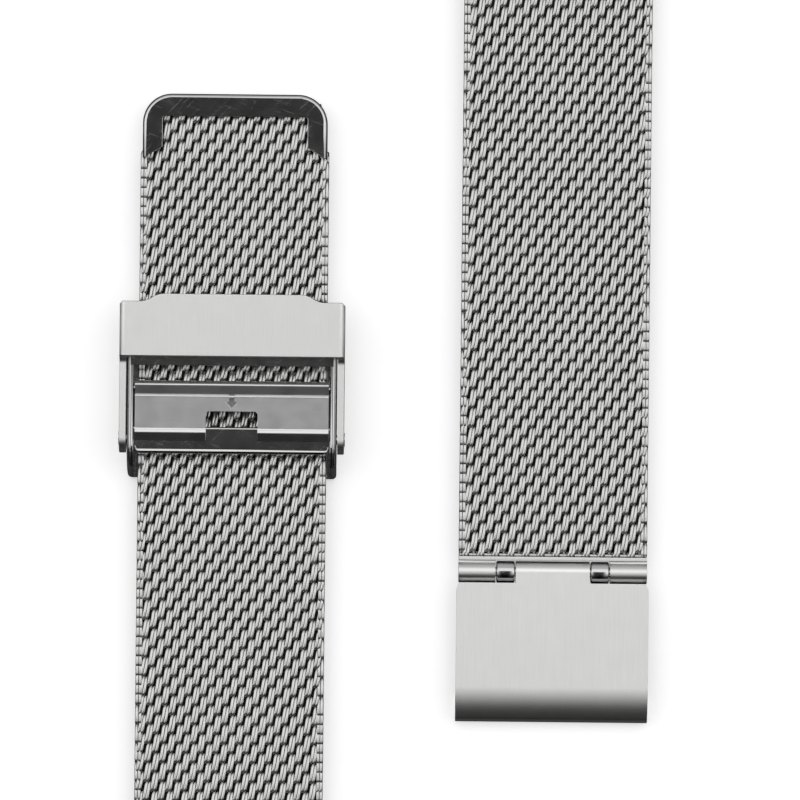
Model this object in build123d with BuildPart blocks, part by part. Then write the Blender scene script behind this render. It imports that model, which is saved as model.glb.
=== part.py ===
from build123d import *
import os
from math import acos, asin, atan2, cos, hypot, pi, radians, sin, sqrt, tan

os.makedirs("parts", exist_ok=True)

# Woven steel watch band in two halves that lie side by side, outer face up.
# Millimetres: +Y runs along the band, +X across it, and +Z is up.
# The origin is the bottom centre of the box round both halves.

# Woven mesh: each coil of wire runs across the band and shows as one rounded rib
mesh_width = 20.0
mesh_thickness = 1.7
coil_pitch = 1.015
rib_depth = 0.18
rib_crest = 0.45
slide_coils = 75
link_coils = 8
long_links = 5
short_links = 8
link_gap = 0.12
link_nose = 0.3

# Place of the two halves
half_spacing = 34.2
hook_below_tip = 66.4

# Tip cap, folded from sheet round the end of the long half
cap_set_in = 0.2
cap_sheet = 0.35
cap_fit = 0.02
cap_length = 6.9
cap_corner = 3.1
cap_bar = 2.4
cap_leg = 2.1
cap_fold_radius = 0.42
cap_window_corner = 0.3
cap_leg_slant = 1.25
cap_weld_margin = 0.15

# Clasp frame: a sheet folded up at both sides, with a bridge that the hook holds and a roof
clasp_from_tip = 36.6
base_sheet = 0.5
mesh_lift = 0.2
frame_side_gap = 0.4
frame_wall = 0.7
frame_head = 13.5
frame_foot = 4.2
wall_height = 4.6
wall_toe_radius = 0.4
wall_foot_radius = 4.0
wall_edge_radius = 0.25
wall_head_radius = 1.2
frame_fold_radius = 0.45
bridge_height = 3.25
bridge_sheet = 0.6
bridge_foot = 1.6
bridge_head = 1.27
bridge_corner = 0.85
bridge_edge_radius = 0.25
roof_foot = 7.75
roof_head = 12.3
roof_sheet = 0.6

# Lock lever: a plate that turns on a pin, with a cam that bites the mesh and an engraved arrow
lever_from_pivot = 5.3
lever_side_gap = 0.15
lever_sheet = 0.55
lever_roll_radius = 0.85
cam_radius = 0.75
cam_throw = 0.15
cam_clearance = 0.08
lever_ramp = 0.85
lever_lip = 0.2
lever_bend = 1.0
lever_bend_radius = 0.5
lever_seat = 0.05
lever_lip_edge = 0.2
lever_seat_length = 1.5
lever_seat_slope = 0.2
notch_width = 5.5
notch_from_bend = 1.92
notch_corner = 0.4
lever_pin_radius = 0.4
arrow_from_pivot = 3.1
arrow_head_length = 0.85
arrow_head_width = 1.4
arrow_shaft_width = 0.55
arrow_length = 1.5
arrow_depth = 0.07

# Safety lid: a bent cover with two arms that turn on rivets
lid_pivot_height = 3.5
lid_side_gap = 0.1
lid_sheet = 0.7
lid_top = 6.05
lid_bend_radius = 0.6
lid_foot = 8.7
lid_shoulder = 14.5
lid_step = 0.8
lid_step_straight = 0.23
lid_centre_width = 15.7
lid_step_radius = 2.2
lid_corner_chamfer = 0.3
lid_inner_radius = 0.5
lid_flange_radius = 1.0
lid_arm_blend = 0.8
lid_edge_radius = 0.1
arm_radius = 1.55
rivet_radius = 0.5
rivet_head_radius = 0.75
rivet_head_height = 0.06
rivet_head_gap = 0.02

# Hook end of the short half: knuckles, sleeves, pin and the hook plate
knuckle_radius = 1.15
hinge_pin_radius = 0.5
hinge_clearance = 0.1
weld_bar = 0.4
knuckle_web = 1.2
sleeve_length = 1.95
sleeve_chamfer = 0.12
tab_width = 7.86
hook_overhang = 0.2
hook_sheet = 0.6
hook_flat = 12.2
hook_bend = 2.77
curl_radius = 1.0
curl_lip = 1.8
roll_slit = 0.12
hook_corner_cut = 0.35
hook_corner_rise = 0.75

# Case ends, each a tube with a collar that is welded to the mesh
case_radius = 1.4
case_bore_radius = 1.0
case_neck = 2.3
case_collar = 0.4

# Spring bars: a tube with a plunger at each end and a spring between them
bar_radius = 0.9
bar_bore_radius = 0.68
bar_crimp = 0.5
bar_travel = 1.1
bar_travel_gap = 0.1
flange_radius = 0.83
flange_thickness = 0.3
flange_spacing = 0.5
stem_radius = 0.24
stem_head_length = 0.6
spring_bore_radius = 0.3
tip_radius = 0.45
tip_length = 1.0
tip_chamfer = 0.1

# Fits: a pin held fast, a pin that turns, and how far cuts run past a face
held_fit = 0.02
turning_fit = 0.05
overrun = 1.0

# Heights, from the surface that the band lies on
mesh_bottom = base_sheet + mesh_lift
mesh_mid = mesh_bottom + mesh_thickness / 2
mesh_top = mesh_bottom + mesh_thickness
groove_top = mesh_top - rib_depth
groove_bottom = mesh_bottom + rib_depth
mesh_half = mesh_width / 2

# Widths of the clasp, from the mesh outwards
channel_half = mesh_half + frame_side_gap
frame_half = channel_half + frame_wall
lever_half = channel_half - lever_side_gap
lid_inner_half = frame_half + lid_side_gap
lid_half = lid_inner_half + lid_sheet
rivet_reach = lid_half + rivet_head_gap + rivet_head_height
bar_reach = mesh_half + tip_length
hook_half = mesh_half + hook_overhang

# Lengths of the two halves
hook_length = hook_flat + hook_bend + curl_radius
cap_fold = cap_sheet + cap_fit
cap_half = mesh_half - cap_set_in
mesh_set_in = cap_fold + cap_weld_margin
link_length = link_coils * coil_pitch
slide_length = slide_coils * coil_pitch
long_length = mesh_set_in + slide_length + long_links * link_length + case_neck
weld_reach = knuckle_radius + hinge_clearance + weld_bar
short_length = weld_reach + short_links * link_length + case_neck

# Places of the two halves, so that the origin is the middle of their box
left_reach = max(rivet_reach, bar_reach)
right_reach = max(bar_reach, hook_half)
long_x = (left_reach - right_reach - half_spacing) / 2
short_x = long_x + half_spacing
rise = max(hook_length + short_length + case_radius - hook_below_tip, 0)
drop = max(long_length + case_radius, hook_below_tip)
tip_y = (drop - rise) / 2
mesh_y = tip_y - mesh_set_in
flex_y = mesh_y - slide_length
long_case_y = tip_y - long_length
clasp_y = tip_y - clasp_from_tip
hinge_y = tip_y - hook_below_tip + hook_length
short_case_y = hinge_y + short_length


def side_plane(x, y):
    """Plane seen from the band's side: its own x runs along the band and its own y up."""
    return Plane(origin=(x, y, 0), x_dir=(0, 1, 0), z_dir=(1, 0, 0))


def cross_plane(x, y):
    """Plane across the band: its own x runs across and its own y up. It faces -Y."""
    return Plane(origin=(x, y, 0), x_dir=(1, 0, 0), z_dir=(0, -1, 0))


def rounded_outline(*corners):
    """Closed outline, inside a BuildLine, through corners given as x, y and radius, 0 if sharp."""
    places = [Vector(x, y) for x, y, _ in corners]
    bends = []
    for turn, (_, _, radius) in enumerate(corners):
        place = places[turn]
        before = (places[turn - 1] - place).normalized()
        after = (places[(turn + 1) % len(places)] - place).normalized()
        half_angle = radians(before.get_angle(after)) / 2
        cut = radius / tan(half_angle)
        sagitta = radius / sin(half_angle) - radius
        middle = place + (before + after).normalized() * sagitta
        bends.append((place + before * cut, middle, place + after * cut))
    for turn, (start, middle, end) in enumerate(bends):
        Line(bends[turn - 1][-1], start)
        if corners[turn][-1]:
            ThreePointArc(start, middle, end)


def mesh_stretch(centre_x, head_y, coils, head_nose, foot_nose):
    """Mesh from head_y towards -Y, with a rib for each coil on its upper and lower face.
    The ribs have flat crests, because the woven wire is rolled flat.

    An end with a nose is rounded and stops half a gap short, so that it can roll on the next
    stretch. An end with no nose is cut straight, to be welded or capped."""
    foot_y = head_y - coils * coil_pitch
    grooves = [head_y - head_nose]
    grooves += [head_y - coil_pitch * turn for turn in range(1, coils)]
    grooves += [foot_y + foot_nose]
    ends = ((grooves[0], head_nose, 1), (grooves[-1], foot_nose, -1))
    with BuildPart() as stretch:
        with BuildSketch(side_plane(centre_x, 0)):
            with BuildLine():
                for near, far in zip(grooves, grooves[1:]):
                    crest_start = (near + far + rib_crest) / 2
                    crest_end = crest_start - rib_crest
                    for groove, crest in ((groove_top, mesh_top), (groove_bottom, mesh_bottom)):
                        Polyline((near, groove), (crest_start, crest), (crest_end, crest), (far, groove))
                for end_y, nose, way in ends:
                    if nose:
                        front = end_y + way * (nose - link_gap / 2)
                        ThreePointArc((end_y, groove_top), (front, mesh_mid), (end_y, groove_bottom))
                    else:
                        Line((end_y, groove_top), (end_y, groove_bottom))
            make_face()
        extrude(amount=mesh_half, both=True)
    return stretch


# Sliding stretch of the long half, its end narrowed and rounded to sit in the tip cap
sliding = mesh_stretch(long_x, mesh_y, slide_coils, 0, link_nose)
capped_half = cap_half - cap_fold
capped_corner = cap_corner - cap_fold
with BuildPart() as long_mesh_slide:
    add(sliding.part)
    with BuildSketch(Plane(origin=(long_x, tip_y, 0))):
        with BuildLine():
            rounded_outline(
                (-mesh_half, -slide_length - overrun, 0),
                (-mesh_half, -cap_length, 0),
                (-capped_half, -cap_length, 0),
                (-capped_half, -mesh_set_in, capped_corner),
                (capped_half, -mesh_set_in, capped_corner),
                (capped_half, -cap_length, 0),
                (mesh_half, -cap_length, 0),
                (mesh_half, -slide_length - overrun, 0),
            )
        make_face()
    extrude(amount=mesh_top + overrun, mode=Mode.INTERSECT)
long_mesh_slide.part.label = "long_mesh_slide"
export_step(long_mesh_slide.part, "parts/long_mesh_slide.step")

# Flexing stretches of the long half, from the sliding stretch to the case end
for link in range(long_links):
    last = link == long_links - 1
    head_y = flex_y - link * link_length
    long_mesh = mesh_stretch(long_x, head_y, link_coils, link_nose, 0 if last else link_nose)
    long_mesh.part.label = f"long_mesh_{link + 1}"
    export_step(long_mesh.part, f"parts/long_mesh_{link + 1}.step")

# Flexing stretches of the short half, counted from the hook to the case end
for link in range(short_links):
    first = link == 0
    last = link == short_links - 1
    head_y = hinge_y + weld_reach + (link + 1) * link_length
    short_mesh = mesh_stretch(
        short_x, head_y, link_coils, 0 if last else link_nose, 0 if first else link_nose
    )
    short_mesh.part.label = f"short_mesh_{link + 1}"
    export_step(short_mesh.part, f"parts/short_mesh_{link + 1}.step")

# Tip cap: folded sheet round the mesh, open over the middle on both faces
cap_plan = Plane(origin=(long_x, tip_y, 0))
cap_bottom = mesh_bottom - cap_fold
cap_height = mesh_thickness + 2 * cap_fold
window_half = cap_half - cap_leg
with BuildPart() as tip_cap:
    with BuildSketch(cap_plan.offset(cap_bottom)) as cap_outline:
        with Locations((0, -cap_length)):
            Rectangle(2 * cap_half, cap_length, align=(Align.CENTER, Align.MIN))
        fillet(cap_outline.vertices().group_by(Axis.Y)[-1], radius=cap_corner)
    extrude(amount=cap_height)
    rims = tip_cap.faces().filter_by(Axis.Z).edges()
    open_end = tip_cap.faces().sort_by(Axis.Y)[0].edges()
    fillet([edge for edge in rims if edge not in open_end], radius=cap_fold_radius)
    with BuildSketch(cap_plan.offset(mesh_bottom - cap_fit)) as cap_cavity:
        with Locations((0, -cap_length - overrun)):
            Rectangle(
                2 * (capped_half + cap_fit),
                cap_length + overrun - cap_fold,
                align=(Align.CENTER, Align.MIN),
            )
        fillet(cap_cavity.vertices().group_by(Axis.Y)[-1], radius=capped_corner)
    extrude(amount=mesh_thickness + 2 * cap_fit, mode=Mode.SUBTRACT)
    with BuildSketch(cap_plan):
        with BuildLine():
            rounded_outline(
                (-cap_half - cap_leg, -cap_length - cap_leg_slant, 0),
                (-window_half, -cap_length + cap_leg_slant, 0),
                (-window_half, -cap_bar, cap_window_corner),
                (window_half, -cap_bar, cap_window_corner),
                (window_half, -cap_length + cap_leg_slant, 0),
                (cap_half + cap_leg, -cap_length - cap_leg_slant, 0),
            )
        make_face()
    extrude(amount=mesh_top + overrun, mode=Mode.SUBTRACT)
tip_cap.part.label = "tip_cap"
export_step(tip_cap.part, "parts/tip_cap.step")

# Clasp, in planes whose own origin lies under the lid's pivot
clasp_side = side_plane(long_x, clasp_y)
clasp_plan = Plane(origin=(long_x, clasp_y, 0))
clasp_cross = cross_plane(long_x, clasp_y)
lever_z = mesh_top + cam_clearance + cam_radius + cam_throw
lever_top = wall_height
bridge_top = bridge_height + bridge_sheet

# Bridge across the frame, with its lower corners rounded clear of the walls
with BuildPart() as bridge:
    with BuildSketch(clasp_plan.offset(bridge_height)) as bridge_outline:
        with Locations((0, -bridge_foot)):
            Rectangle(2 * channel_half, bridge_foot + bridge_head, align=(Align.CENTER, Align.MIN))
        fillet(bridge_outline.vertices().group_by(Axis.Y)[0], radius=bridge_corner)
        with Locations((0, bridge_corner - bridge_foot)):
            Rectangle(
                2 * channel_half + frame_wall,
                bridge_foot + bridge_head - bridge_corner,
                align=(Align.CENTER, Align.MIN),
            )
    extrude(amount=bridge_sheet)
    fillet(bridge.edges().filter_by(Axis.X).group_by(Axis.Y)[0], radius=bridge_edge_radius)
    fillet(
        bridge.edges().filter_by(Axis.X).group_by(Axis.Y)[-1].sort_by(Axis.Z)[-1],
        radius=bridge_edge_radius,
    )

with BuildPart() as clasp_frame:
    with BuildSketch(clasp_side):
        with BuildLine():
            rounded_outline(
                (-frame_foot, 0, wall_toe_radius),
                (frame_head, 0, wall_toe_radius),
                (frame_head, wall_height, wall_head_radius),
                (-frame_foot, wall_height, wall_foot_radius),
            )
        make_face()
    extrude(amount=frame_half, both=True)
    folds = clasp_frame.faces().sort_by(Axis.Z)[0].edges().filter_by(Axis.Y)
    fillet(folds, radius=frame_fold_radius)
    with BuildSketch(clasp_cross):
        with Locations((0, base_sheet)):
            Rectangle(2 * channel_half, wall_height, align=(Align.CENTER, Align.MIN))
    extrude(amount=frame_head + overrun, both=True, mode=Mode.SUBTRACT)
    with BuildSketch(clasp_cross) as channel_section:
        for side in (-1, 1):
            with Locations((side * (channel_half + frame_wall / 2), wall_height)):
                Rectangle(frame_wall, wall_height, align=(Align.CENTER, Align.MAX))
        fillet(channel_section.vertices().group_by(Axis.Y)[-1], radius=wall_edge_radius)
        Rectangle(2 * frame_half, base_sheet, align=(Align.CENTER, Align.MIN))
    extrude(amount=frame_head + overrun, both=True, mode=Mode.INTERSECT)
    add(bridge.part)
    with BuildSketch(clasp_plan.offset(wall_height - roof_sheet)):
        with Locations((0, roof_foot)):
            Rectangle(
                2 * channel_half + frame_wall,
                roof_head - roof_foot,
                align=(Align.CENTER, Align.MIN),
            )
    extrude(amount=roof_sheet)
    for side in (-1, 1):
        with BuildSketch(clasp_side.offset(side * channel_half)):
            with Locations((lever_from_pivot, lever_z)):
                Circle(lever_pin_radius + held_fit)
            with Locations((0, lid_pivot_height)):
                Circle(rivet_radius + held_fit)
        extrude(amount=side * (frame_wall + overrun), mode=Mode.SUBTRACT)
clasp_frame.part.label = "clasp_frame"
export_step(clasp_frame.part, "parts/clasp_frame.step")

with BuildPart() as lever_pin:
    with BuildSketch(clasp_side):
        with Locations((lever_from_pivot, lever_z)):
            Circle(lever_pin_radius)
    extrude(amount=frame_half, both=True)
lever_pin.part.label = "lever_pin"
export_step(lever_pin.part, "parts/lever_pin.step")

# Lock lever: lip, bend, flat and ramp down to the rolled cam end
lip_seat = bridge_top + lever_seat
lever_under = lever_top - lever_sheet
with BuildPart() as lock_lever:
    with BuildSketch(clasp_side):
        with BuildLine():
            rounded_outline(
                (-lever_lip, lip_seat, 0),
                (-lever_lip, lip_seat + lever_lip_edge, 0),
                (lever_bend, lever_top, lever_bend_radius),
                (lever_from_pivot - lever_ramp, lever_top, lever_bend_radius),
                (lever_from_pivot, lever_z + lever_roll_radius, 0),
                (lever_from_pivot, lever_z, 0),
                (lever_from_pivot - lever_roll_radius, lever_under, 0),
                (lever_seat_length, lever_under, 0),
                (lever_seat_length - lever_seat_slope, lip_seat, 0),
            )
        make_face()
        with Locations((lever_from_pivot, lever_z)):
            Circle(lever_roll_radius)
        with Locations((lever_from_pivot, lever_z - cam_throw)):
            Circle(cam_radius)
        with Locations((lever_from_pivot, lever_z)):
            Circle(lever_pin_radius + turning_fit, mode=Mode.SUBTRACT)
    extrude(amount=lever_half, both=True)
    with BuildSketch(clasp_plan.offset(lip_seat - overrun)) as notch:
        with Locations((0, -lever_lip - overrun)):
            Rectangle(
                notch_width,
                lever_lip + overrun + lever_bend + notch_from_bend,
                align=(Align.CENTER, Align.MIN),
            )
        fillet(notch.vertices().group_by(Axis.Y)[-1], radius=notch_corner)
    extrude(amount=lever_top - lip_seat + 2 * overrun, mode=Mode.SUBTRACT)
    with BuildSketch(Plane(origin=(long_x, clasp_y + arrow_from_pivot, lever_top - arrow_depth))):
        with BuildLine():
            Polyline(
                (0, 0),
                (arrow_head_width / 2, arrow_head_length),
                (arrow_shaft_width / 2, arrow_head_length),
                (arrow_shaft_width / 2, arrow_length),
                (-arrow_shaft_width / 2, arrow_length),
                (-arrow_shaft_width / 2, arrow_head_length),
                (-arrow_head_width / 2, arrow_head_length),
                close=True,
            )
        make_face()
    extrude(amount=overrun, mode=Mode.SUBTRACT)
lock_lever.part.label = "lock_lever"
export_step(lock_lever.part, "parts/lock_lever.step")

# Safety lid: a bent sheet, cut to its outline from above and to its arms from the side
lid_head = lid_shoulder + lid_step
lid_under = lid_top - lid_sheet
arm_low = lid_pivot_height - arm_radius
arm_high = lid_pivot_height + arm_radius
centre_half = lid_centre_width / 2
step_turn = acos((2 * lid_step_radius - lid_step) / hypot(2 * lid_step_radius, lid_step_straight))
step_turn -= atan2(lid_step_straight, 2 * lid_step_radius)
lid_step_width = lid_step / tan(step_turn)
with BuildPart() as safety_lid:
    with BuildSketch(clasp_cross.offset(-lid_head)) as lid_section:
        with Locations((0, lid_top)):
            Rectangle(2 * lid_half, lid_top - arm_low + overrun, align=(Align.CENTER, Align.MAX))
        fillet(lid_section.vertices().group_by(Axis.Y)[-1], radius=lid_bend_radius)
        with Locations((0, lid_under)):
            Rectangle(
                2 * lid_inner_half,
                lid_under - arm_low + 2 * overrun,
                align=(Align.CENTER, Align.MAX),
                mode=Mode.SUBTRACT,
            )
    extrude(amount=lid_head + arm_radius)
    with BuildSketch(clasp_plan):
        with BuildLine():
            rounded_outline(
                (-lid_half, -arm_radius - overrun, 0),
                (-lid_half, lid_shoulder - lid_corner_chamfer, 0),
                (-lid_half + lid_corner_chamfer, lid_shoulder, 0),
                (-centre_half - lid_step_width, lid_shoulder, lid_step_radius),
                (-centre_half, lid_head, lid_step_radius),
                (centre_half, lid_head, lid_step_radius),
                (centre_half + lid_step_width, lid_shoulder, lid_step_radius),
                (lid_half - lid_corner_chamfer, lid_shoulder, 0),
                (lid_half, lid_shoulder - lid_corner_chamfer, 0),
                (lid_half, -arm_radius - overrun, 0),
                (lid_inner_half, -arm_radius - overrun, 0),
                (lid_inner_half, lid_foot, lid_inner_radius),
                (-lid_inner_half, lid_foot, lid_inner_radius),
                (-lid_inner_half, -arm_radius - overrun, 0),
            )
        make_face()
    extrude(amount=lid_top + overrun, mode=Mode.INTERSECT)
    with BuildSketch(clasp_side):
        with BuildLine():
            rounded_outline(
                (0, arm_low, 0),
                (lid_shoulder, arm_low, lid_flange_radius),
                (lid_shoulder, lid_under, 0),
                (lid_head + overrun, lid_under, 0),
                (lid_head + overrun, lid_top + overrun, 0),
                (lid_foot, lid_top + overrun, 0),
                (lid_foot, arm_high, lid_arm_blend),
                (0, arm_high, 0),
            )
        make_face()
        with Locations((0, lid_pivot_height)):
            Circle(arm_radius)
    extrude(amount=lid_half + overrun, both=True, mode=Mode.INTERSECT)
    lid_rims = safety_lid.faces().sort_by(Axis.Z)[-1].edges().filter_by(GeomType.LINE)
    fillet(lid_rims.filter_by(Axis.X), radius=lid_edge_radius)
    with BuildSketch(clasp_side):
        with Locations((0, lid_pivot_height)):
            Circle(rivet_radius + turning_fit)
    extrude(amount=lid_half + overrun, both=True, mode=Mode.SUBTRACT)
safety_lid.part.label = "safety_lid"
export_step(safety_lid.part, "parts/safety_lid.step")

# Lid rivets: one on each side, held in the frame's wall, with a low head outside the arm
with BuildPart() as lid_rivets:
    for side in (-1, 1):
        with BuildSketch(clasp_side.offset(side * channel_half)):
            with Locations((0, lid_pivot_height)):
                Circle(rivet_radius)
        extrude(amount=side * (lid_half + rivet_head_gap - channel_half))
        with BuildSketch(clasp_side.offset(side * (lid_half + rivet_head_gap))):
            with Locations((0, lid_pivot_height)):
                Circle(rivet_head_radius)
        extrude(amount=side * rivet_head_height)
lid_rivets.part.label = "lid_rivets"
export_step(lid_rivets.part, "parts/lid_rivets.step")

# Hook end, in planes whose own origin lies under the hinge pin
hook_side = side_plane(short_x, hinge_y)
hook_plan = Plane(origin=(short_x, hinge_y, 0))
tab_half = tab_width / 2
sleeve_start = tab_half + hinge_clearance
sleeve_end = sleeve_start + sleeve_length
knuckle_start = sleeve_end + hinge_clearance
weld_start = knuckle_radius + hinge_clearance

# End piece: a bar along the cut mesh with a knuckle at each side
with BuildPart() as hinge_end:
    with BuildSketch(hook_side):
        with Locations((weld_start, mesh_mid)):
            Rectangle(weld_bar, mesh_thickness, align=(Align.MIN, Align.CENTER))
    extrude(amount=mesh_half, both=True)
    for side in (-1, 1):
        with BuildSketch(hook_side.offset(side * knuckle_start)):
            with Locations((0, mesh_mid)):
                Circle(knuckle_radius)
                Rectangle(weld_reach - weld_bar / 2, knuckle_web, align=(Align.MIN, Align.CENTER))
        extrude(amount=side * (mesh_half - knuckle_start))
    with BuildSketch(hook_side):
        with Locations((0, mesh_mid)):
            Circle(hinge_pin_radius + held_fit)
    extrude(amount=mesh_half + overrun, both=True, mode=Mode.SUBTRACT)
hinge_end.part.label = "hinge_end"
export_step(hinge_end.part, "parts/hinge_end.step")

with BuildPart() as hinge_pin:
    with BuildSketch(hook_side):
        with Locations((0, mesh_mid)):
            Circle(hinge_pin_radius)
    extrude(amount=mesh_half, both=True)
hinge_pin.part.label = "hinge_pin"
export_step(hinge_pin.part, "parts/hinge_pin.step")

# Polished sleeves that fill the pin between the knuckles and the tab
with BuildPart() as hinge_sleeves:
    for side in (-1, 1):
        with BuildSketch(hook_side.offset(side * sleeve_start)):
            with Locations((0, mesh_mid)):
                Circle(knuckle_radius)
                Circle(hinge_pin_radius + turning_fit, mode=Mode.SUBTRACT)
        extrude(amount=side * sleeve_length)
    rims = hinge_sleeves.edges().filter_by(GeomType.CIRCLE).group_by(SortBy.RADIUS)[-1]
    chamfer(rims, length=sleeve_chamfer)
hinge_sleeves.part.label = "hinge_sleeves"
export_step(hinge_sleeves.part, "parts/hinge_sleeves.step")


def on_bend(centre, radius, turn):
    """Point of a bend, turn radians from straight up towards the hook's end."""
    return (centre[0] - radius * sin(turn), centre[1] + radius * cos(turn))


# Hook plate: flat, then a wide bend down into a tight curl that ends in a lip
hook_top = mesh_mid + knuckle_radius
hook_under = hook_top - hook_sheet
curl_reach = hook_flat + hook_bend
curl_centre = (-curl_reach, curl_radius)
curl_rise = hook_top - curl_radius
bend_radius = (hook_bend**2 + curl_rise**2 - curl_radius**2) / (2 * (curl_rise - curl_radius))
bend_centre = (-hook_flat, hook_top - bend_radius)
bend_turn = asin(hook_bend / (bend_radius - curl_radius))
inner_bend = bend_radius - hook_sheet
inner_curl = curl_radius - hook_sheet
shoulder_y = -sqrt((knuckle_radius + hinge_clearance) ** 2 - (knuckle_radius - hook_sheet) ** 2)
curl_middle = (bend_turn + pi) / 2
with BuildPart() as hook_plate:
    with BuildSketch(hook_side):
        with BuildLine():
            Line((shoulder_y, hook_top), (-hook_flat, hook_top))
            ThreePointArc(
                on_bend(bend_centre, bend_radius, 0),
                on_bend(bend_centre, bend_radius, bend_turn / 2),
                on_bend(bend_centre, bend_radius, bend_turn),
            )
            ThreePointArc(
                on_bend(curl_centre, curl_radius, bend_turn),
                on_bend(curl_centre, curl_radius, curl_middle),
                on_bend(curl_centre, curl_radius, pi),
            )
            Polyline(
                (-curl_reach, 0),
                (curl_lip - curl_reach, 0),
                (curl_lip - curl_reach, hook_sheet),
                (-curl_reach, hook_sheet),
            )
            ThreePointArc(
                on_bend(curl_centre, inner_curl, pi),
                on_bend(curl_centre, inner_curl, curl_middle),
                on_bend(curl_centre, inner_curl, bend_turn),
            )
            ThreePointArc(
                on_bend(bend_centre, inner_bend, bend_turn),
                on_bend(bend_centre, inner_bend, bend_turn / 2),
                on_bend(bend_centre, inner_bend, 0),
            )
            Polyline((-hook_flat, hook_under), (shoulder_y, hook_under), (shoulder_y, hook_top))
        make_face()
    extrude(amount=hook_half, both=True)
    shoulders = hook_plate.edges().filter_by(Axis.Z).group_by(Axis.Y)[-1]
    chamfer(shoulders, length=hook_corner_cut, length2=hook_corner_rise)
    with BuildSketch(hook_side):
        with Locations((0, mesh_mid)):
            Circle(knuckle_radius)
        with Locations((0, hook_top)):
            Rectangle(-shoulder_y + hook_sheet, hook_sheet, align=(Align.MAX, Align.MAX))
    extrude(amount=tab_half, both=True)
    with BuildSketch(hook_side):
        with Locations((0, mesh_mid)):
            Circle(hinge_pin_radius + turning_fit)
        with Locations((-hinge_pin_radius, hook_under)):
            Rectangle(knuckle_radius, roll_slit, align=(Align.MAX, Align.MAX))
    extrude(amount=tab_half + overrun, both=True, mode=Mode.SUBTRACT)
hook_plate.part.label = "hook_plate"
export_step(hook_plate.part, "parts/hook_plate.step")


def case_end(centre_x, axis_y, way):
    """Tube for the spring bar, with a collar that narrows to the mesh on its side of the tube.

    way is 1 where the mesh lies towards +Y of the tube and -1 where it lies towards -Y."""
    with BuildPart() as end:
        with BuildSketch(side_plane(centre_x, axis_y)):
            with Locations((0, mesh_mid)):
                Circle(case_radius)
            with Locations((way * (case_neck - case_collar / 2), mesh_mid)):
                Rectangle(case_collar, mesh_thickness)
            make_hull()
            with Locations((0, mesh_mid)):
                Circle(case_bore_radius, mode=Mode.SUBTRACT)
        extrude(amount=mesh_half, both=True)
    return end


long_case_end = case_end(long_x, long_case_y, 1)
long_case_end.part.label = "long_case_end"
export_step(long_case_end.part, "parts/long_case_end.step")
short_case_end = case_end(short_x, short_case_y, -1)
short_case_end.part.label = "short_case_end"
export_step(short_case_end.part, "parts/short_case_end.step")

# Places along a spring bar, from its middle outwards
flange_outer_start = mesh_half - flange_thickness
flange_inner_end = flange_outer_start - flange_spacing
flange_inner_start = flange_inner_end - flange_thickness
bar_half = flange_inner_start - bar_travel - bar_travel_gap
head_end = bar_half - bar_crimp - bar_travel_gap / 2
head_start = head_end - stem_head_length
spring_half = head_start - bar_travel - bar_travel_gap
head_radius = bar_bore_radius - held_fit


def bar_tube(centre_x, axis_y):
    """Tube of a spring bar, its ends crimped in so that the plungers' heads can't leave it."""
    with BuildPart() as tube:
        with BuildSketch(side_plane(centre_x, axis_y)):
            with Locations((0, mesh_mid)):
                Circle(bar_radius)
                Circle(stem_radius + turning_fit, mode=Mode.SUBTRACT)
        extrude(amount=bar_half, both=True)
        with BuildSketch(side_plane(centre_x, axis_y)):
            with Locations((0, mesh_mid)):
                Circle(bar_bore_radius)
        extrude(amount=bar_half - bar_crimp, both=True, mode=Mode.SUBTRACT)
    return tube


def bar_spring(centre_x, axis_y):
    """Sleeve that holds the place of a bar's spring, pressed together between the plungers."""
    with BuildPart() as spring:
        with BuildSketch(side_plane(centre_x, axis_y)):
            with Locations((0, mesh_mid)):
                Circle(bar_bore_radius - held_fit)
                Circle(spring_bore_radius, mode=Mode.SUBTRACT)
        extrude(amount=spring_half, both=True)
    return spring


def bar_plunger(centre_x, axis_y, side):
    """Plunger: a head in the tube, a stem, two flanges for a tool and the tip for the lug."""
    with BuildPart() as plunger:
        with BuildSketch(Plane(origin=(centre_x, axis_y, mesh_mid))):
            with BuildLine():
                Polyline(
                    (side * head_start, 0),
                    (side * head_start, head_radius),
                    (side * head_end, head_radius),
                    (side * head_end, stem_radius),
                    (side * flange_inner_start, stem_radius),
                    (side * flange_inner_start, flange_radius),
                    (side * flange_inner_end, flange_radius),
                    (side * flange_inner_end, stem_radius),
                    (side * flange_outer_start, stem_radius),
                    (side * flange_outer_start, flange_radius),
                    (side * mesh_half, flange_radius),
                    (side * mesh_half, tip_radius),
                    (side * (bar_reach - tip_chamfer), tip_radius),
                    (side * bar_reach, tip_radius - tip_chamfer),
                    (side * bar_reach, 0),
                    close=True,
                )
            make_face()
        revolve(axis=Axis((centre_x, axis_y, mesh_mid), (1, 0, 0)))
    return plunger


for half, centre_x, axis_y in (("long", long_x, long_case_y), ("short", short_x, short_case_y)):
    tube = bar_tube(centre_x, axis_y)
    tube.part.label = f"{half}_bar_tube"
    export_step(tube.part, f"parts/{half}_bar_tube.step")
    spring = bar_spring(centre_x, axis_y)
    spring.part.label = f"{half}_bar_spring"
    export_step(spring.part, f"parts/{half}_bar_spring.step")
    for side, side_name in ((-1, "left"), (1, "right")):
        plunger = bar_plunger(centre_x, axis_y, side)
        plunger.part.label = f"{half}_plunger_{side_name}"
        export_step(plunger.part, f"parts/{half}_plunger_{side_name}.step")
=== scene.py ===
"""Looks of a woven steel watch band in two halves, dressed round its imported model.

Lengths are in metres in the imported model's frame: +Y runs along the band, +X across it, and +Z is up.
"""
import logging
from dataclasses import dataclass, field, replace
from enum import Enum
from functools import cache
from math import pi, radians

import bmesh
import bpy
from mathutils import Matrix, Vector


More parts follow.
